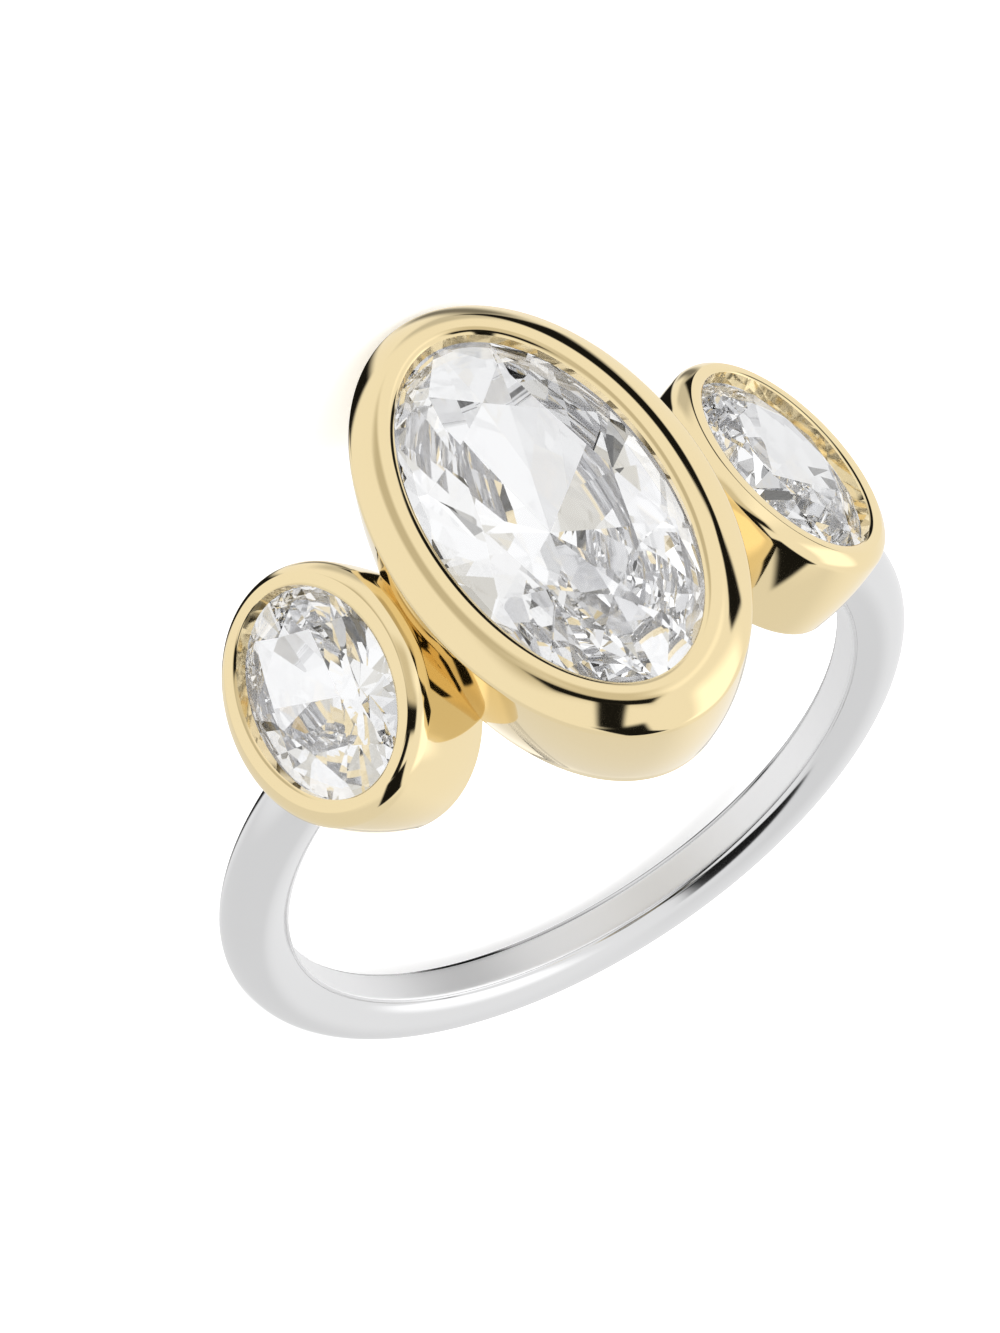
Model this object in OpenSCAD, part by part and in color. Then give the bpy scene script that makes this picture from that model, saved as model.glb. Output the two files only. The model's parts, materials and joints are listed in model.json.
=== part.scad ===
// Three stone ring: a round-edged silver band carries three gold bezels, soldered side by side.
// Each bezel holds an oval stone with its long axis along the finger.
// The ring is drawn lying on its side on the ground plane, with the finger axis leaning a little.

/* [Band] */
// Inside diameter of the ring
finger_d = 17.2; // [15:0.1:21]
// Thickness of the band, from the finger to the outside
band_t = 1.75; // [1.5:0.05:2.4]
// Width of the band along the finger
band_w = 1.7; // [1.4:0.05:2.2]
// Width of the flat face that lies on the finger
band_flat_w = 0.9; // [0.6:0.05:1.1]

/* [Centre bezel] */
// Width of the centre bezel at its shoulder
centre_rim_w = 8.6; // [7.8:0.1:9.5]
// Length of the centre bezel at its shoulder
centre_rim_l = 14.1; // [13:0.1:15.5]
// Length of the centre bezel at its base
centre_base_l = 12.6; // [11.8:0.1:13]
// Height of the centre bezel from its base to the top of its lip
centre_h = 4.1; // [3.7:0.1:5]
// Height of the centre bezel's base above the finger
centre_lift = 0.65; // [0.4:0.05:1.5]
// Width of the centre lip that shows at the two ends of the stone
centre_lip_w = 0.6; // [0.4:0.05:0.7]

/* [Side bezels] */
// Width of a side bezel at its shoulder
side_rim_w = 6.1; // [5.6:0.1:6.8]
// Length of a side bezel at its shoulder
side_rim_l = 7.4; // [7:0.1:8.2]
// Length of a side bezel at its base
side_base_l = 7.1; // [6.5:0.1:7.4]
// Height of a side bezel from its base to the top of its lip
side_h = 3.0; // [2.8:0.1:3.4]
// Lean of a side bezel away from the centre bezel, in degrees
side_lean = 40; // [36:0.5:43]
// Reach of a side bezel's shoulder under the centre bezel's shoulder
side_tuck = 0.08; // [0:0.01:0.15]
// Height of the centre bezel's shoulder above the inner end of a side bezel's shoulder
side_drop = 1.2; // [1:0.05:1.5]
// Width of a side lip that shows at the two ends of the stone
side_lip_w = 0.42; // [0.3:0.02:0.5]

/* [Lips and seats] */
// Height of a lip's rounded crown above the shoulder band
lip_h = 0.15; // [0.1:0.01:0.2]
// Height of the sloping shoulder band
shoulder_h = 0.4; // [0.2:0.05:0.45]
// Rounding of a shoulder
shoulder_r = 0.2; // [0.1:0.05:0.3]
// Rounding of a base edge
base_r = 0.2; // [0.1:0.05:0.35]
// Thickness of the lip over a stone's edge
lip_t = 0.3; // [0.2:0.05:0.4]
// Overlap of a lip on a stone's edge
lip_over = 0.2; // [0.15:0.01:0.3]
// Width of the ledge under a stone's edge
ledge_w = 0.45; // [0.3:0.05:0.6]
// Gap between a stone and its bezel, and between the bezels and the band
seat_gap = 0.03; // [0.02:0.005:0.05]

/* [Stones] */
// Width of the centre stone
centre_stone_w = 6.6; // [6.2:0.1:7]
// Length of the centre stone
centre_stone_l = 11.9; // [11.4:0.1:12.1]
// Height of the centre stone above its edge
centre_crown_h = 0.8; // [0.6:0.05:1.1]
// Depth of the centre stone below its edge
centre_pavilion_h = 2.75; // [2.3:0.05:2.95]
// Width of a side stone
side_stone_w = 4.85; // [4.5:0.05:5.1]
// Length of a side stone
side_stone_l = 6.6; // [6.2:0.05:6.7]
// Height of a side stone above its edge
side_crown_h = 0.65; // [0.5:0.05:0.9]
// Depth of a side stone below its edge
side_pavilion_h = 2.0; // [1.7:0.05:2.15]
// Thickness of a stone's edge
girdle_t = 0.12; // [0.08:0.01:0.2]
// Size of the table, as a share of the stone
table_share = 0.56; // [0.5:0.01:0.65]

/* [Hidden] */

// Sides of a whole circle
$fn = 144;
// Steps of a small rounding and of a lip's crown
round_steps = 3;
crown_steps = 6;
// Overshoot of a cut past the face that it opens
over = 1;
// Main facets round a stone
mains = 8;
// Reach of the small crown and pavilion corners, as shares of the stone
star_share = 0.80;
lower_share = 0.30;

// Colours
silver_colour = [0.85, 0.85, 0.86];
gold_colour = [0.88, 0.70, 0.36];
stone_colour = [0.93, 0.95, 0.98];

finger_r = finger_d/2;
// Centre of the band's round outside, across its thickness
band_round_r = band_w/2;
band_mid = band_t - band_round_r;

// A bezel's sizes in a list, and functions that read them
CENTRE = [centre_rim_l, centre_rim_w, centre_base_l, centre_h, centre_stone_l, centre_stone_w,
    centre_lip_w, centre_crown_h, centre_pavilion_h];
SIDE = [side_rim_l, side_rim_w, side_base_l, side_h, side_stone_l, side_stone_w,
    side_lip_w, side_crown_h, side_pavilion_h];
function rim_l(b) = b[0];
function rim_w(b) = b[1];
function base_l(b) = b[2];
function height(b) = b[3];
function stone_l(b) = b[4];
function stone_w(b) = b[5];
function lip_w(b) = b[6];
function crown_h(b) = b[7];
function pavilion_h(b) = b[8];

// Height of the shoulder, where a bezel is widest
function shoulder_z(b) = height(b) - lip_h - shoulder_h;
// Height of the top of a stone's edge
function girdle_z(b) = height(b) - lip_h - lip_t - lip_over*crown_slope(b) - seat_gap;
// Rise of the crown for each step inward along the long axis
function crown_slope(b) = crown_h(b)/(stone_l(b)/2*(1 - table_share));
// Fall of the pavilion for each step inward along the long axis
function pavilion_slope(b) = pavilion_h(b)/(stone_l(b)/2);

centre_z = finger_r + centre_lift;
// The middle of a side bezel's base follows from where the inner end of its shoulder lies
side_top_x = centre_rim_w/2 - side_tuck;
side_top_z = centre_z + shoulder_z(CENTRE) - side_drop;
side_x = side_top_x + side_rim_w/2*cos(side_lean) - shoulder_z(SIDE)*sin(side_lean);
side_z = side_top_z - side_rim_w/2*sin(side_lean) - shoulder_z(SIDE)*cos(side_lean);

// The ring rests on the base edge of the centre bezel's far end and on the foot of the band.
// Both lie on the ground when the finger axis leans by rest_lean out of the upright.
// The base edge and the foot are both round, so their centres give the lean.
foot_r = finger_r + band_mid;
wall_lean = atan2((centre_rim_l - centre_base_l)/2, shoulder_z(CENTRE));
edge_y = centre_base_l/2 - base_r*tan(45 - wall_lean/2);
edge_z = centre_z + base_r;
rest_span = norm([edge_y, edge_z + foot_r]);
rest_lean = acos((band_round_r - base_r)/rest_span) - atan2(edge_z + foot_r, edge_y);
rest_z = foot_r*sin(rest_lean) + band_round_r;
// The origin lies below the middle between the head's upper lip and the back of the band
head_reach = max([for (p = bezel_profile(CENTRE)) if (p.x >= centre_stone_l/2 - lip_over)
    p.x*sin(rest_lean) + (centre_z + p.y)*cos(rest_lean)]);
tail_reach = foot_r*cos(rest_lean) + band_round_r;
rest_y = (head_reach - tail_reach)/2;

function unit(v) = v/norm(v);

// Points of a rounding with radius r that replaces the corner b between a and c
function rounding(a, b, c, r) =
    let (u = unit(a - b), v = unit(c - b), half = acos(u*v)/2)
    let (middle = b + unit(u + v)*r/sin(half))
    let (from = b + u*r/tan(half) - middle, to = b + v*r/tan(half) - middle)
    [for (i = [0:round_steps]) middle + r*unit(from*(round_steps - i) + to*i)];

// Points of a low arc from a to b with the given rise
function crown_arc(a, b, rise) =
    let (chord = norm(b - a), r = (chord*chord/4 + rise*rise)/(2*rise), half = asin(chord/2/r))
    let (middle = (a + b)/2 + [0, rise - r])
    [for (i = [0:crown_steps]) middle + r*[sin(half*(1 - 2*i/crown_steps)), cos(half*(1 - 2*i/crown_steps))]];

// Outside of a bezel along its long axis
function bezel_profile(b) =
    let (rim = [rim_l(b)/2, shoulder_z(b)], base = [base_l(b)/2, 0])
    let (crease = [stone_l(b)/2 - lip_over + lip_w(b), height(b) - lip_h])
    let (inner = [(stone_w(b)/2 - lip_over)*rim_l(b)/rim_w(b), crease.y])
    concat([[0, 0]], rounding([0, 0], base, rim, base_r), rounding(base, rim, crease, shoulder_r),
        crown_arc(crease, inner, lip_h), [[0, crease.y]]);

// Inside of a bezel along its long axis: opening, groove for the stone's edge, ledge and open back
function seat_profile(b) =
    let (edge = stone_l(b)/2 + seat_gap, z = girdle_z(b), opening = stone_l(b)/2 - lip_over)
    let (back = edge - ledge_w, ledge_z = z - girdle_t - seat_gap - ledge_w*pavilion_slope(b))
    [[0, -over], [back, -over], [back, ledge_z], [edge, z - girdle_t - seat_gap], [edge, z + seat_gap],
        [opening, z + seat_gap + (edge - opening)*crown_slope(b)], [opening, height(b) + over],
        [0, height(b) + over]];

// A turned solid, narrowed across the finger
module oval(width, length, profile) scale([width/length, 1, 1]) rotate_extrude() polygon(profile);

module bezel_body(b) oval(rim_w(b), rim_l(b), bezel_profile(b));

module bezel_seat(b) oval(stone_w(b), stone_l(b), seat_profile(b));

// Corners of a cut stone with its edge's top at height zero, for a stone of unit half length
function ring_points(count, turn, r, z) = [for (i = [0:count - 1])
    [r*cos((i + turn)*360/count), r*sin((i + turn)*360/count), z]];

// Rings of corners: table, star, edge top, edge bottom, lower and point
module cut_stone(b) {
    half_step = 180/mains;
    crown = crown_h(b);
    pavilion = pavilion_h(b);
    star_z = crown*(1 - (star_share*cos(half_step) - table_share)/(1 - table_share));
    lower_z = -girdle_t - pavilion*(1 - lower_share*cos(half_step));
    points = concat(ring_points(mains, 0, table_share, crown), ring_points(mains, 0.5, star_share, star_z),
        ring_points(2*mains, 0, 1, 0), ring_points(2*mains, 0, 1, -girdle_t),
        ring_points(mains, 0.5, lower_share, lower_z), [[0, 0, -girdle_t - pavilion]]);
    // Where each ring of corners starts in the list
    table = 0;
    star = table + mains;
    top = star + mains;
    bottom = top + 2*mains;
    lower = bottom + 2*mains;
    tip = lower + mains;
    faces = concat(
        [[for (i = [mains - 1:-1:0]) table + i]],
        [for (i = [0:mains - 1]) let (n = (i + 1)%mains) [table + i, table + n, star + i]],
        [for (i = [0:mains - 1]) let (p = (i + mains - 1)%mains) [table + i, star + i, top + 2*i, star + p]],
        [for (i = [0:mains - 1]) [star + i, top + 2*i + 1, top + 2*i]],
        [for (i = [0:mains - 1]) [star + i, top + (2*i + 2)%(2*mains), top + 2*i + 1]],
        [for (i = [0:2*mains - 1]) let (n = (i + 1)%(2*mains)) [top + i, top + n, bottom + n, bottom + i]],
        [for (i = [0:mains - 1]) [bottom + 2*i, bottom + 2*i + 1, lower + i]],
        [for (i = [0:mains - 1]) [bottom + 2*i + 1, bottom + (2*i + 2)%(2*mains), lower + i]],
        [for (i = [0:mains - 1]) let (p = (i + mains - 1)%mains) [bottom + 2*i, lower + i, tip, lower + p]]);
    translate([0, 0, girdle_z(b)])
        scale([stone_w(b)/2, stone_l(b)/2, 1])
            polyhedron(points, faces);
}

// Lays the upright ring on its side, with its head towards the front
module at_rest() translate([0, rest_y, rest_z]) rotate([0, 0, 180])
    rotate([rest_lean - 90, 0, 0]) children();

// Places on the upright ring, whose finger axis is Y and whose head points up
module at_centre() translate([0, 0, centre_z]) children();

module at_side(hand) translate([hand*side_x, 0, side_z]) rotate([0, hand*side_lean, 0]) children();

// Section of the band, flat towards the finger and round outside
module band_section() {
    narrowing = (band_w - band_flat_w)/2;
    side_r = (band_mid*band_mid + narrowing*narrowing)/(2*narrowing);
    translate([finger_r, 0]) {
        intersection() {
            translate([band_mid, band_round_r - side_r]) circle(r = side_r);
            translate([band_mid, side_r - band_round_r]) circle(r = side_r);
            translate([0, -band_w]) square([band_mid, 2*band_w]);
        }
        intersection() {
            translate([band_mid, 0]) circle(r = band_round_r);
            translate([band_mid, -band_w]) square([band_t, 2*band_w]);
        }
    }
}

// Room that the band leaves for a bezel, with the seat gap all round
module bezel_room(b) oval(rim_w(b), rim_l(b), [[0, -seat_gap],
    [base_l(b)/2 + seat_gap, -seat_gap], [rim_l(b)/2 + seat_gap, shoulder_z(b)], [0, height(b)]]);

// The band runs on under the side bezels, cut to their walls and bases, and ends below their middles
module shank() color(silver_colour) at_rest() difference() {
    rotate([0, -90 - side_lean, 0]) rotate([90, 0, 0])
        rotate_extrude(angle = 360 - 2*side_lean) band_section();
    at_side(1) bezel_room(SIDE);
    at_side(-1) bezel_room(SIDE);
}

module bezel_setting() color(gold_colour) at_rest() difference() {
    union() {
        at_centre() bezel_body(CENTRE);
        at_side(1) bezel_body(SIDE);
        at_side(-1) bezel_body(SIDE);
    }
    at_centre() bezel_seat(CENTRE);
    at_side(1) bezel_seat(SIDE);
    at_side(-1) bezel_seat(SIDE);
}

module centre_stone() color(stone_colour) at_rest() at_centre() cut_stone(CENTRE);

module left_stone() color(stone_colour) at_rest() at_side(-1) cut_stone(SIDE);

module right_stone() color(stone_colour) at_rest() at_side(1) cut_stone(SIDE);

shank();
bezel_setting();
centre_stone();
left_stone();
right_stone();
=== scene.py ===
"""A three stone ring in silver and gold, lying on its side on a pale floor in soft studio light."""
import json
import math

import bpy
import numpy as np
from mathutils import Matrix, Vector


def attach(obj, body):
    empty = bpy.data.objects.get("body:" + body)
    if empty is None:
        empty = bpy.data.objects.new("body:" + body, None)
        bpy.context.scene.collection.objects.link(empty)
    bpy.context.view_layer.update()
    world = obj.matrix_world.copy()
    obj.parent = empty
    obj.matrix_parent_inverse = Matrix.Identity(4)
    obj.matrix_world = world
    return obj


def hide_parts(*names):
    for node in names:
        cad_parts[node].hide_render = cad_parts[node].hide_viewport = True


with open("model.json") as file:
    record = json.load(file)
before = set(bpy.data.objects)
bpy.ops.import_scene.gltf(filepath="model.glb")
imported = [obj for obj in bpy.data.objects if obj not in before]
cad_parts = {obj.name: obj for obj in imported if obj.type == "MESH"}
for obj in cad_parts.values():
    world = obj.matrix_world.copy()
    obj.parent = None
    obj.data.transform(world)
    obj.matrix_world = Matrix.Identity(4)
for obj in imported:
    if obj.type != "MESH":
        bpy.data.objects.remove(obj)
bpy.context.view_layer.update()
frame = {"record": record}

MM = 0.001

# The finger hole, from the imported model's own mount
bore = next(m for m in frame["record"]["mounts"] if m["name"] == "finger_bore")
BORE_CENTRE = Vector(bore["pos_m"])
FINGER_R = bore["dims"]["r_mm"]

# Band, in millimetres
BAND_T = 1.75
BAND_W = 1.7
BAND_FLAT_W = bore["dims"]["length_mm"]
BAND_EDGE_R = 0.08
# Steps round its outside, each of its sides and each small edge, and along it, and its inner face's points
BAND_ROUND_STEPS = 48
BAND_SIDE_STEPS = 11
BAND_EDGE_STEPS = 5
BAND_ALONG_STEPS = 360
BAND_INNER_SHARES = (0.7, 0.3, 0, -0.3, -0.7)

# Bezels and stones, in millimetres: widths lie across the finger and lengths along it
CENTRE = dict(rim_w=8.6, rim_l=14.1, base_l=12.6, height=4.1, lip_w=0.66, lip_l=0.69, shoulder_r=0.26,
              crest_end=28, stone_w=6.6, stone_l=11.9, crown=0.8, pavilion=2.75)
SIDE = dict(rim_w=6.1, rim_l=7.4, base_l=7.1, height=3.0, lip_w=0.42, lip_l=0.3, shoulder_r=0.55,
            crest_end=8, stone_w=4.85, stone_l=6.6, crown=0.65, pavilion=2.0)
# How they sit: the centre's lift over the finger hole, and the sides' lean, overlap and drop
CENTRE_LIFT = 0.65
SIDE_LEAN = math.radians(40)
SIDE_TUCK = 0.08
SIDE_DROP = 1.2
# How far the lip and the shoulder rise above a bezel's widest line
LIP_H = 0.15
SHOULDER_H = 0.4
# A bezel's outside is a chain of arcs: roll, crest, a narrow crease, bevel and shoulder. These are the
# slopes where they start, and crest_end above is the slope where the crease does, in degrees
ROLL_SLOPE = math.radians(-42)
CREST_SLOPE = math.radians(-5)
BEVEL_SLOPE = math.radians(30)
SHOULDER_SLOPE = math.radians(45)
ROLL_SHARE = 0.32
CREASE_W = 0.03
ARC_STEPS = (8, 12, 2, 10, 14)
# The wall below them is a little round: its slope changes by this much to both sides of its middle
WALL_SWING = math.radians(8)
WALL_STEPS = 10
BASE_R = 0.2
BASE_STEPS = 6
# The lip over the stone, the ledge under it, the gap to both, and the stone's edge and table
LIP_T = 0.3
LIP_OVER = 0.2
LEDGE_W = 0.45
SEAT_GAP = 0.03
GIRDLE_T = 0.12
TABLE = 0.56
# Where the stars and the lower halves end, as shares of a stone's half size, and how many mains it has
STAR = 0.80
LOWER = 0.30
MAINS = 8
# Extra points along a bezel's straight inner runs and its lip's wall, as shares of their length
RUN_SHARES = (0.04, 0.3, 0.7, 0.96)
LIP_SHARES = (0.05, 0.5, 0.95)
# Steps round a bezel, and round and along the room that the band leaves for one, which ends in a tiny top
BEZEL_AROUND = 240
ROOM_AROUND = 144
ROOM_STEPS = 8
ROOM_TOP_R = 0.01
# Edges between a bezel's faces that turn by more than this are sharp
SHARP_ANGLE = math.radians(40)

# Clouds in the materials, to a metre
CLOUD_SCALE = 300
CLOUD_DETAIL = 4
# Sockets of a Mix node that mixes colours
MIX_FACTOR, MIX_A, MIX_B, MIX_RESULT = 0, 6, 7, 2

# Camera: the photograph's angle to the ring, as an azimuth and elevation over the floor and a roll
CAMERA_AZIMUTH = 18.044
CAMERA_ELEVATION = 43.684
CAMERA_ROLL = 140.802
CAMERA_DISTANCE = 200
CAMERA_LENS = 202.8
CAMERA_SENSOR = 36
# Where the finger hole's centre lies in the picture, right of its middle and above it, in millimetres
FRAME_RIGHT = 1.76
FRAME_UP = -2.88
CAMERA_NEAR_M = 0.01

# Studio: an even pale light all round with soft-edged strips that are brighter or darker, each from one
# azimuth and elevation to another, in degrees
SKY_LIGHT = 1.0
OVERHEAD_LIGHT = 8.0
OVERHEAD_SIZE_M = 1.2
OVERHEAD_HEIGHT_M = 0.8
# The floor glows a little, so that shadows on it stay faint
FLOOR_GLOW = 0.45
FLOOR_GREY = 0.97
FLOOR_ROUGHNESS = 0.9
FLOOR_HALF_M = 2
# How often light is followed on through the stones and between the metals
BOUNCES = 32
WHITE = (1, 1, 1)
WARM = (1, 0.96, 0.86)
STRIPS = [
    # Light grey back, and grey ground in front
    dict(start=(95, 0), end=(-170, 0), width=110, soft=12, light=0.85),
    dict(start=(-70, -52), end=(-14, -48), width=28, soft=7, light=0.65),
    dict(start=(18, -34), end=(22, 2), width=26, soft=6, light=0.63, tint=WARM),
    dict(start=(40, 0), end=(-5, 36), width=26, soft=8, light=0.65, tint=WARM),
    dict(start=(-3, -2), end=(10, 24), width=20, soft=6, light=0.72, tint=WARM),
    # Bright windows on the left and low at the back
    dict(start=(-62, 32), end=(-130, 50), width=44, soft=7, light=1.42),
    dict(start=(-12, 26), end=(-45, 4), width=14, soft=6, light=1.15),
    dict(start=(178, -28), end=(-168, -40), width=14, soft=5, light=1.36),
    # Dark strip over the top with a bar across its near end
    dict(start=(22, 32), end=(62, 48), width=14, soft=2, light=0.01),
    dict(start=(-3, 40), end=(36, 11), width=16, soft=3, light=0.01),
    dict(start=(54, 52), end=(148, 56), width=31, soft=2.5, light=0.01),
    # Dark gaps low on the left, which meet in front
    dict(start=(-74, 8), end=(-52, -14), width=16, soft=2, light=0.01),
    dict(start=(-48, -11), end=(-73, -56), width=23, soft=2.5, light=0.01),
    dict(start=(-76, -56), end=(-130, -74), width=13, soft=5, light=0.22),
    # Dark gap below
    dict(start=(60, -64), end=(-172, -58), width=22, soft=3, light=0.01),
]

# The upright ring has the finger along Y and its head up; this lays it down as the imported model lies
finger = -Vector(bore["axis"]).normalized()
head = Vector((-1, 0, 0)).cross(finger)
RING = Matrix.Translation(BORE_CENTRE) @ Matrix((Vector((-1, 0, 0)), finger, head)).transposed().to_4x4()


def shoulder_z(b):
    """Height of a bezel's widest line above its base."""
    return b["height"] - LIP_H - SHOULDER_H


def crown_slope(b):
    """How far a stone's crown falls over each millimetre along the stone."""
    return b["crown"] / (b["stone_l"] / 2 * (1 - TABLE))


def girdle_z(b):
    """Height of the top of a stone's edge above the bezel's base."""
    return b["height"] - LIP_H - LIP_T - LIP_OVER * crown_slope(b) - SEAT_GAP


centre_z = FINGER_R + CENTRE_LIFT
side_top_x = CENTRE["rim_w"] / 2 - SIDE_TUCK
side_top_z = centre_z + shoulder_z(CENTRE) - SIDE_DROP
side_x = side_top_x + SIDE["rim_w"] / 2 * math.cos(SIDE_LEAN) - shoulder_z(SIDE) * math.sin(SIDE_LEAN)
side_z = side_top_z - SIDE["rim_w"] / 2 * math.sin(SIDE_LEAN) - shoulder_z(SIDE) * math.cos(SIDE_LEAN)


def facing(azimuth, elevation):
    """Unit vector towards an azimuth and elevation in degrees, with azimuth zero towards -Y."""
    a, e = math.radians(azimuth), math.radians(elevation)
    return Vector((math.sin(a) * math.cos(e), -math.cos(a) * math.cos(e), math.sin(e)))


def place(hand):
    """Matrix from a bezel's frame in millimetres to the row frame: hand is -1 left, 0 centre or 1 right."""
    if hand == 0:
        on_ring = Matrix.Translation((0, 0, centre_z))
    else:
        on_ring = Matrix.Translation((hand * side_x, 0, side_z)) @ Matrix.Rotation(hand * SIDE_LEAN, 4, "Y")
    return RING @ Matrix.Scale(MM, 4) @ on_ring


def lined(corners):
    """Points along an open line of corners, with extra points along each straight run."""
    points = [corners[0]]
    for start, end in zip(corners, corners[1:]):
        start, end = np.array(start), np.array(end)
        points += [start + (end - start) * share for share in RUN_SHARES]
        points.append(end)
    return points


def mesh_object(name, verts, faces, smooth=True):
    """A mesh object in the row frame, in metres."""
    mesh = bpy.data.meshes.new(name)
    mesh.from_pydata([tuple(v) for v in verts], [], faces)
    mesh.validate()
    mesh.polygons.foreach_set("use_smooth", [smooth] * len(mesh.polygons))
    obj = bpy.data.objects.new(name, mesh)
    bpy.context.scene.collection.objects.link(obj)
    return obj


def grid_faces(rings, around, closed_rings=True):
    """Quads between rings of points that are each closed."""
    faces = []
    last = rings if closed_rings else rings - 1
    for i in range(last):
        j = (i + 1) % rings
        for k in range(around):
            m = (k + 1) % around
            faces.append((i * around + k, i * around + m, j * around + m, j * around + k))
    return faces


def oval_ring(name, long_outline, short_outline, matrix):
    """A solid round an oval: its section is long_outline at the oval's ends, short_outline at its sides."""
    turn = np.linspace(0, 2 * math.pi, BEZEL_AROUND, endpoint=False)
    cos, sin = np.cos(turn), np.sin(turn)
    verts = []
    for (long_r, long_z), (short_r, short_z) in zip(long_outline[::-1], short_outline[::-1]):
        z = long_z * sin**2 + short_z * cos**2
        verts.append(np.stack([short_r * cos, long_r * sin, z], 1))
    verts = np.concatenate(verts)
    turned = [matrix @ Vector(v) for v in verts]
    return mesh_object(name, turned, grid_faces(len(long_outline), BEZEL_AROUND))


def arcs(r, z, radii, slopes, steps):
    """Points along a chain of arcs from (r, z), given their radii and the slopes at their ends."""
    points = [(r, z)]
    for radius, start, end, count in zip(radii, slopes, slopes[1:], steps):
        r, z = points[-1]
        for k in range(1, count + 1):
            slope = start + (end - start) * k / count
            points.append((r + radius * (math.sin(slope) - math.sin(start)),
                           z + radius * (math.cos(slope) - math.cos(start))))
    return points


def bezel_outline(b, stone, rim, base, lip):
    """Section across a bezel's wall, and how many of its points come before the lip's underside.

    stone, rim and base are half sizes along one axis, and lip is the lip's width.
    """
    edge = stone + SEAT_GAP
    opening = stone - LIP_OVER
    back = edge - LEDGE_W
    edge_z = girdle_z(b)
    seat_z = edge_z - GIRDLE_T - SEAT_GAP
    ledge_z = seat_z - LEDGE_W * b["pavilion"] / (b["stone_l"] / 2)
    under_z = edge_z + SEAT_GAP + (edge - opening) * crown_slope(b)
    # Outside, from the opening over the lip and down the wall
    wall = math.pi / 2 + math.atan((rim - base) / shoulder_z(b))
    slopes = (ROLL_SLOPE, CREST_SLOPE, math.radians(b["crest_end"]), BEVEL_SLOPE, SHOULDER_SLOPE,
              wall - WALL_SWING)
    shoulder_w = b["shoulder_r"] * (1 - math.sin(SHOULDER_SLOPE))
    roll_w = lip * ROLL_SHARE
    widths = (roll_w, lip - roll_w - CREASE_W, CREASE_W, rim - opening - lip - shoulder_w)
    radii = [w / (math.sin(end) - math.sin(start)) for w, start, end in zip(widths, slopes, slopes[1:])]
    radii.append(b["shoulder_r"])
    outside = arcs(opening, 0, radii, slopes, ARC_STEPS)
    rise = b["height"] - max(z for _, z in outside)
    outside = [(r, z + rise) for r, z in outside]
    r, z = outside[-1]
    wall_r = math.hypot(r - base, z - BASE_R) / (2 * math.sin(WALL_SWING))
    middle = math.pi / 2 + math.atan((r - base) / (z - BASE_R))
    outside += arcs(r, z, [wall_r], (middle - WALL_SWING, middle + WALL_SWING), [WALL_STEPS])[1:]
    foot = []
    for angle in np.linspace(0, math.pi / 2, BASE_STEPS + 1)[1:]:
        foot.append((base - BASE_R * (1 - math.cos(angle)), BASE_R * (1 - math.sin(angle))))
    # Inside, from the foot up over the ledge to the lip's underside, where the bright lining ends
    inside = lined([(back, 0), (back, ledge_z), (edge, seat_z), (edge, edge_z + SEAT_GAP),
                    (opening, under_z)])
    lip_wall = [(opening, under_z + (outside[0][1] - under_z) * share) for share in LIP_SHARES]
    return np.array(list(inside) + lip_wall + outside + foot), len(inside) - 1


def bezel(name, b, hand):
    """One bezel: an oval cup with a rolled lip, a ledge for its stone and an open back."""
    base_w = b["rim_w"] * b["base_l"] / b["rim_l"]
    long_outline, seat = bezel_outline(b, b["stone_l"] / 2, b["rim_l"] / 2, b["base_l"] / 2, b["lip_l"])
    short_outline, _ = bezel_outline(b, b["stone_w"] / 2, b["rim_w"] / 2, base_w / 2, b["lip_w"])
    obj = oval_ring(name, long_outline, short_outline, place(hand))
    obj.data.materials.append(gold)
    obj.data.materials.append(lining)
    # The inside is bright, so the stone stays clear
    first = (len(long_outline) - 1 - seat) * BEZEL_AROUND
    for face in obj.data.polygons:
        if first <= face.index < first + seat * BEZEL_AROUND:
            face.material_index = 1
    return obj


def boolean(obj, others, operation):
    """Applies a boolean of obj with the other objects, which are used up."""
    for other in others:
        step = obj.modifiers.new("step", "BOOLEAN")
        step.operation = operation
        step.solver = "MANIFOLD"
        step.object = other
    depsgraph = bpy.context.evaluated_depsgraph_get()
    mesh = bpy.data.meshes.new_from_object(obj.evaluated_get(depsgraph))
    obj.modifiers.clear()
    obj.data = mesh
    for other in others:
        bpy.data.objects.remove(other)
    return obj


def band_section():
    """Closed outline of the band's section as (radius, height along the finger) in millimetres."""
    round_r = BAND_W / 2
    mid = BAND_T - round_r
    narrowing = (BAND_W - BAND_FLAT_W) / 2
    side_r = (mid**2 + narrowing**2) / (2 * narrowing)
    outline = []
    for angle in np.linspace(-math.pi / 2, math.pi / 2, BAND_ROUND_STEPS + 1):
        outline.append((mid + round_r * math.cos(angle), round_r * math.sin(angle)))
    # One side with its small round edge, the flat inner face, and the other side
    side = []
    for angle in np.linspace(0, math.asin(mid / side_r), BAND_SIDE_STEPS + 1)[1:-1]:
        side.append((mid - side_r * math.sin(angle), side_r * math.cos(angle) - (side_r - round_r)))
    flat = BAND_FLAT_W / 2
    for angle in np.linspace(0, math.pi / 2, BAND_EDGE_STEPS + 1):
        side.append((BAND_EDGE_R * (1 - math.sin(angle)), flat - BAND_EDGE_R * (1 - math.cos(angle))))
    inner = [(0, (flat - BAND_EDGE_R) * share) for share in BAND_INNER_SHARES]
    other_side = [(r, -y) for r, y in reversed(side)]
    return np.array((outline + side + inner + other_side)[::-1])


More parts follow.
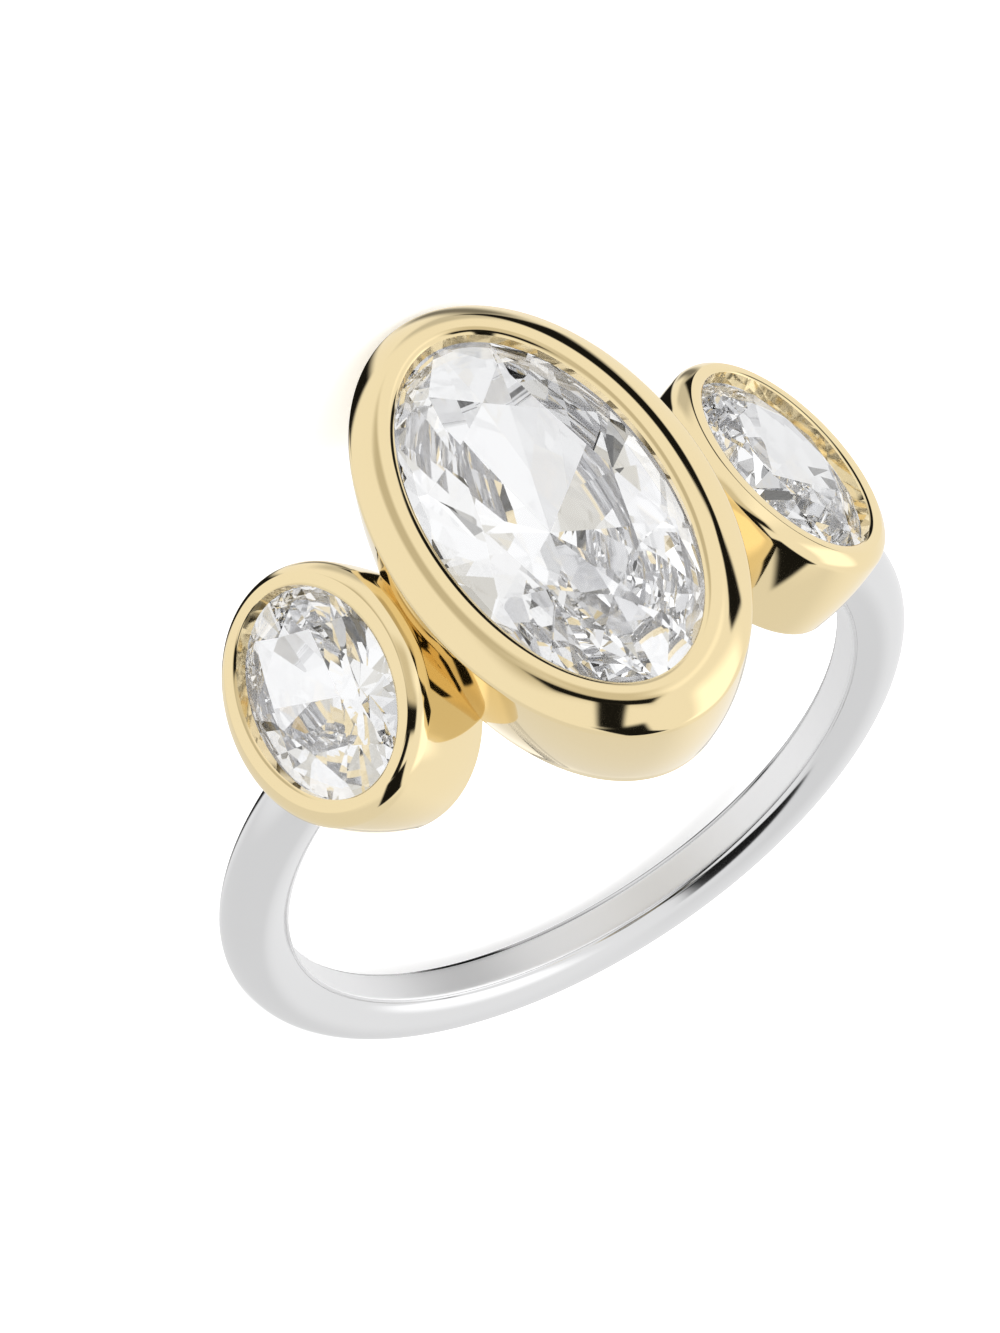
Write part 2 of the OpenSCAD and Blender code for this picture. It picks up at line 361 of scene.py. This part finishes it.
def make_band():
    """The silver band from one side bezel round to the other, cut to the bezels' walls."""
    outline = band_section()
    turns = np.linspace(SIDE_LEAN, 2 * math.pi - SIDE_LEAN, BAND_ALONG_STEPS + 1)
    verts = []
    for turn in turns:
        for r, y in outline:
            radius = FINGER_R + r
            verts.append(RING @ (Vector((radius * math.sin(turn), y, radius * math.cos(turn))) * MM))
    around = len(outline)
    faces = grid_faces(len(turns), around, closed_rings=False)
    faces.append(tuple(reversed(range(around))))
    faces.append(tuple(range((len(turns) - 1) * around, len(turns) * around)))
    band = mesh_object("band", verts, faces)
    rooms = [bezel_room(hand) for hand in (-1, 1)]
    return boolean(band, rooms, "DIFFERENCE")


def bezel_room(hand):
    """The room that the band leaves for a side bezel: its outside with the seat gap all round."""
    b = SIDE
    share = b["rim_w"] / b["rim_l"]
    top = shoulder_z(b)
    widening = (b["rim_l"] - b["base_l"]) / 2
    bulge = math.hypot(top, widening) / 2 * math.tan(WALL_SWING / 2)
    outline = []
    # The round wall, as a parabola with the bulge at its middle
    for step in np.linspace(0, 1, ROOM_STEPS + 1):
        r = b["base_l"] / 2 + widening * step + 4 * bulge * step * (1 - step) + SEAT_GAP
        outline.append((r, top * step - SEAT_GAP * (1 - step)))
    outline.append((ROOM_TOP_R, b["height"]))
    turn = np.linspace(0, 2 * math.pi, ROOM_AROUND, endpoint=False)
    matrix = place(hand)
    verts = []
    for r, z in outline:
        verts += [matrix @ Vector((share * r * math.cos(a), r * math.sin(a), z)) for a in turn]
    faces = grid_faces(len(outline), len(turn), closed_rings=False)
    faces.append(tuple(reversed(range(len(turn)))))
    faces.append(tuple(range((len(outline) - 1) * len(turn), len(outline) * len(turn))))
    return mesh_object("room", verts, faces)


def cut_stone(name, b, hand):
    """An oval brilliant: table, stars, kites, upper halves, edge, lower halves and pavilion mains."""
    half_step = math.pi / MAINS
    crown, pavilion = b["crown"], b["pavilion"]

    def ring(count, turn, r, z):
        angles = [(i + turn) * 2 * math.pi / count for i in range(count)]
        return [(r * math.cos(a), r * math.sin(a), z) for a in angles]

    star_z = crown * (1 - (STAR * math.cos(half_step) - TABLE) / (1 - TABLE))
    lower_z = -GIRDLE_T - pavilion * (1 - LOWER * math.cos(half_step))
    points = ring(MAINS, 0, TABLE, crown) + ring(MAINS, 0.5, STAR, star_z)
    points += ring(2 * MAINS, 0, 1, 0) + ring(2 * MAINS, 0, 1, -GIRDLE_T)
    points += ring(MAINS, 0.5, LOWER, lower_z) + [(0, 0, -GIRDLE_T - pavilion)]
    # Where the stars' tips, the edge's top, its underside, the lower halves' tips and the point start
    stars, top, under, low, tip = MAINS, 2 * MAINS, 4 * MAINS, 6 * MAINS, 7 * MAINS
    faces = [tuple(range(MAINS))]
    for i in range(MAINS):
        n, p = (i + 1) % MAINS, (i - 1) % MAINS
        faces.append((i, stars + i, n))
        faces.append((i, stars + p, top + 2 * i, stars + i))
        faces.append((stars + i, top + 2 * i, top + 2 * i + 1))
        faces.append((stars + i, top + 2 * i + 1, top + (2 * i + 2) % (2 * MAINS)))
        faces.append((under + 2 * i, low + i, under + 2 * i + 1))
        faces.append((under + 2 * i + 1, low + i, under + (2 * i + 2) % (2 * MAINS)))
        faces.append((under + 2 * i, low + p, tip, low + i))
    for i in range(2 * MAINS):
        n = (i + 1) % (2 * MAINS)
        faces.append((top + i, under + i, under + n, top + n))
    matrix = place(hand) @ Matrix.Translation((0, 0, girdle_z(b)))
    verts = [matrix @ Vector((x * b["stone_w"] / 2, y * b["stone_l"] / 2, z)) for x, y, z in points]
    return mesh_object(name, verts, faces, smooth=False)


def material(name, **values):
    """A principled material with these values on its shader: the material, its node tree and its shader."""
    mat = bpy.data.materials.new(name)
    mat.use_nodes = True
    shader = mat.node_tree.nodes["Principled BSDF"]
    for socket, value in values.items():
        shader.inputs[socket.replace("_", " ")].default_value = value
    return mat, mat.node_tree, shader


def clouded(name, colour, tint, low, high, **values):
    """A material with faint clouds, from colour to tint and from low to high roughness."""
    mat, tree, shader = material(name, **values)
    nodes, links = tree.nodes, tree.links
    clouds = nodes.new("ShaderNodeTexNoise")
    clouds.inputs["Scale"].default_value = CLOUD_SCALE
    clouds.inputs["Detail"].default_value = CLOUD_DETAIL
    links.new(nodes.new("ShaderNodeTexCoord").outputs["Object"], clouds.inputs["Vector"])
    rough = nodes.new("ShaderNodeMapRange")
    rough.inputs["To Min"].default_value = low
    rough.inputs["To Max"].default_value = high
    links.new(clouds.outputs["Fac"], rough.inputs["Value"])
    links.new(rough.outputs["Result"], shader.inputs["Roughness"])
    mix = nodes.new("ShaderNodeMix")
    mix.data_type = "RGBA"
    mix.inputs[MIX_A].default_value = (*colour, 1)
    mix.inputs[MIX_B].default_value = (*tint, 1)
    links.new(clouds.outputs["Fac"], mix.inputs[MIX_FACTOR])
    links.new(mix.outputs[MIX_RESULT], shader.inputs["Base Color"])
    return mat


# Materials
gold = clouded("gold", (0.888, 0.741, 0.451), (0.874, 0.718, 0.423), 0.04, 0.08, Metallic=1.0)
lining = clouded("lining", (0.80, 0.80, 0.81), (0.77, 0.77, 0.78), 0.08, 0.14, Metallic=1.0)
silver = clouded("silver", (0.755, 0.755, 0.76), (0.736, 0.736, 0.741), 0.08, 0.14, Metallic=1.0)
satin = clouded("satin silver", (0.93, 0.93, 0.935), (0.91, 0.91, 0.915), 0.46, 0.54, Metallic=1.0)
stone = clouded("stone", (0.985, 0.99, 1.0), (0.975, 0.98, 0.99), 0.0, 0.01,
                IOR=2.0, Transmission_Weight=1.0)

# Band
band = make_band()
band.data.materials.clear()
band.data.materials.append(silver)
band.data.materials.append(satin)
# The face on the finger is satin
for face in band.data.polygons:
    from_axis = (face.center - BORE_CENTRE).cross(finger).length / MM
    if from_axis < FINGER_R + BAND_EDGE_R / 2:
        face.material_index = 1
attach(band, "root")
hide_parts("shank")

# Bezels
shells = [bezel("setting", CENTRE, 0), bezel("left", SIDE, -1), bezel("right", SIDE, 1)]
setting = boolean(shells[0], shells[1:], "UNION")
setting.data.set_sharp_from_angle(angle=SHARP_ANGLE)
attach(setting, "root")
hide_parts("bezel_setting")

# Stones
for node, b, hand in (("centre_stone", CENTRE, 0), ("left_stone", SIDE, -1), ("right_stone", SIDE, 1)):
    gem = cut_stone(node.replace("stone", "gem"), b, hand)
    gem.data.materials.append(stone)
    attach(gem, "root")
    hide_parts(node)

# Floor
corners = [(x * FLOOR_HALF_M, y * FLOOR_HALF_M, 0) for x, y in ((-1, -1), (1, -1), (1, 1), (-1, 1))]
floor = mesh_object("floor", corners, [(0, 1, 2, 3)])
floor_mat, _, floor_shader = material("floor", Roughness=FLOOR_ROUGHNESS)
floor_shader.inputs["Base Color"].default_value = (FLOOR_GREY, FLOOR_GREY, FLOOR_GREY, 1)
floor_shader.inputs["Emission Color"].default_value = (*WHITE, 1)
floor_shader.inputs["Emission Strength"].default_value = FLOOR_GLOW
floor.data.materials.append(floor_mat)
floor.visible_glossy = False
floor.visible_transmission = False

# A wide soft light overhead for the floor alone
lamp = bpy.data.objects.new("overhead", bpy.data.lights.new("overhead", "AREA"))
lamp.data.size = OVERHEAD_SIZE_M
lamp.data.energy = OVERHEAD_LIGHT
lamp.location = (0, 0, OVERHEAD_HEIGHT_M)
lamp.visible_camera = False
lamp.visible_glossy = False
lamp.visible_transmission = False
bpy.context.scene.collection.objects.link(lamp)

# Camera
back = facing(CAMERA_AZIMUTH, CAMERA_ELEVATION)
level = Vector((0, 0, 1)).cross(back).normalized()
turned = Matrix.Rotation(math.radians(CAMERA_ROLL), 3, back)
right, up = turned @ level, turned @ back.cross(level)
camera = bpy.data.objects.new("camera", bpy.data.cameras.new("camera"))
bpy.context.scene.collection.objects.link(camera)
bpy.context.scene.camera = camera
camera.data.lens = CAMERA_LENS
camera.data.sensor_width = CAMERA_SENSOR
spot = BORE_CENTRE + (back * CAMERA_DISTANCE - right * FRAME_RIGHT - up * FRAME_UP) * MM
camera.matrix_world = Matrix.Translation(spot) @ Matrix((right, up, back)).transposed().to_4x4()
camera.data.clip_start = CAMERA_NEAR_M

# World
world = bpy.data.worlds.new("studio")
bpy.context.scene.world = world
world.use_nodes = True
tree = world.node_tree
direction = tree.nodes.new("ShaderNodeTexCoord").outputs["Generated"]


def join(kind, operation, *values):
    """A maths node of the world, whose inputs are numbers, vectors or other nodes' outputs."""
    node = tree.nodes.new(kind)
    node.operation = operation
    for socket, value in zip(node.inputs, values):
        if isinstance(value, bpy.types.NodeSocket):
            tree.links.new(value, socket)
        else:
            socket.default_value = value
    return node.outputs["Value"]


def strip_mask(start, end, width, soft):
    """One inside a soft-edged strip of the studio and zero outside; start and end are directions."""
    first, last = facing(*start), facing(*end)
    middle = (first + last).normalized()
    along = (last - first).normalized()
    across = middle.cross(along)
    ahead = join("ShaderNodeVectorMath", "DOT_PRODUCT", direction, middle)
    above = join("ShaderNodeVectorMath", "DOT_PRODUCT", direction, along)
    aside = join("ShaderNodeVectorMath", "DOT_PRODUCT", direction, across)
    x = join("ShaderNodeMath", "ABSOLUTE", join("ShaderNodeMath", "ARCSINE", aside))
    y = join("ShaderNodeMath", "ABSOLUTE", join("ShaderNodeMath", "ARCTAN2", above, ahead))
    inside = []
    for value, half in ((x, math.radians(width / 2)), (y, first.angle(last) / 2)):
        ramp = tree.nodes.new("ShaderNodeMapRange")
        ramp.interpolation_type = "SMOOTHSTEP"
        ramp.inputs["From Min"].default_value = half + math.radians(soft)
        ramp.inputs["From Max"].default_value = half - math.radians(soft)
        tree.links.new(value, ramp.inputs["Value"])
        inside.append(ramp.outputs["Result"])
    return join("ShaderNodeMath", "MULTIPLY", *inside)


sky = tree.nodes.new("ShaderNodeRGB")
sky.outputs[0].default_value = (SKY_LIGHT, SKY_LIGHT, SKY_LIGHT, 1)
light = sky.outputs[0]
for strip in STRIPS:
    mask = strip_mask(strip["start"], strip["end"], strip["width"], strip["soft"])
    mix = tree.nodes.new("ShaderNodeMix")
    mix.data_type = "RGBA"
    tree.links.new(mask, mix.inputs[MIX_FACTOR])
    tree.links.new(light, mix.inputs[MIX_A])
    tint = strip.get("tint", WHITE)
    mix.inputs[MIX_B].default_value = (*[strip["light"] * part for part in tint], 1)
    light = mix.outputs[MIX_RESULT]
tree.links.new(light, tree.nodes["Background"].inputs["Color"])

bpy.context.scene.view_settings.view_transform = "Standard"

cycles = bpy.context.scene.cycles
cycles.max_bounces = BOUNCES
cycles.glossy_bounces = BOUNCES
cycles.transmission_bounces = BOUNCES
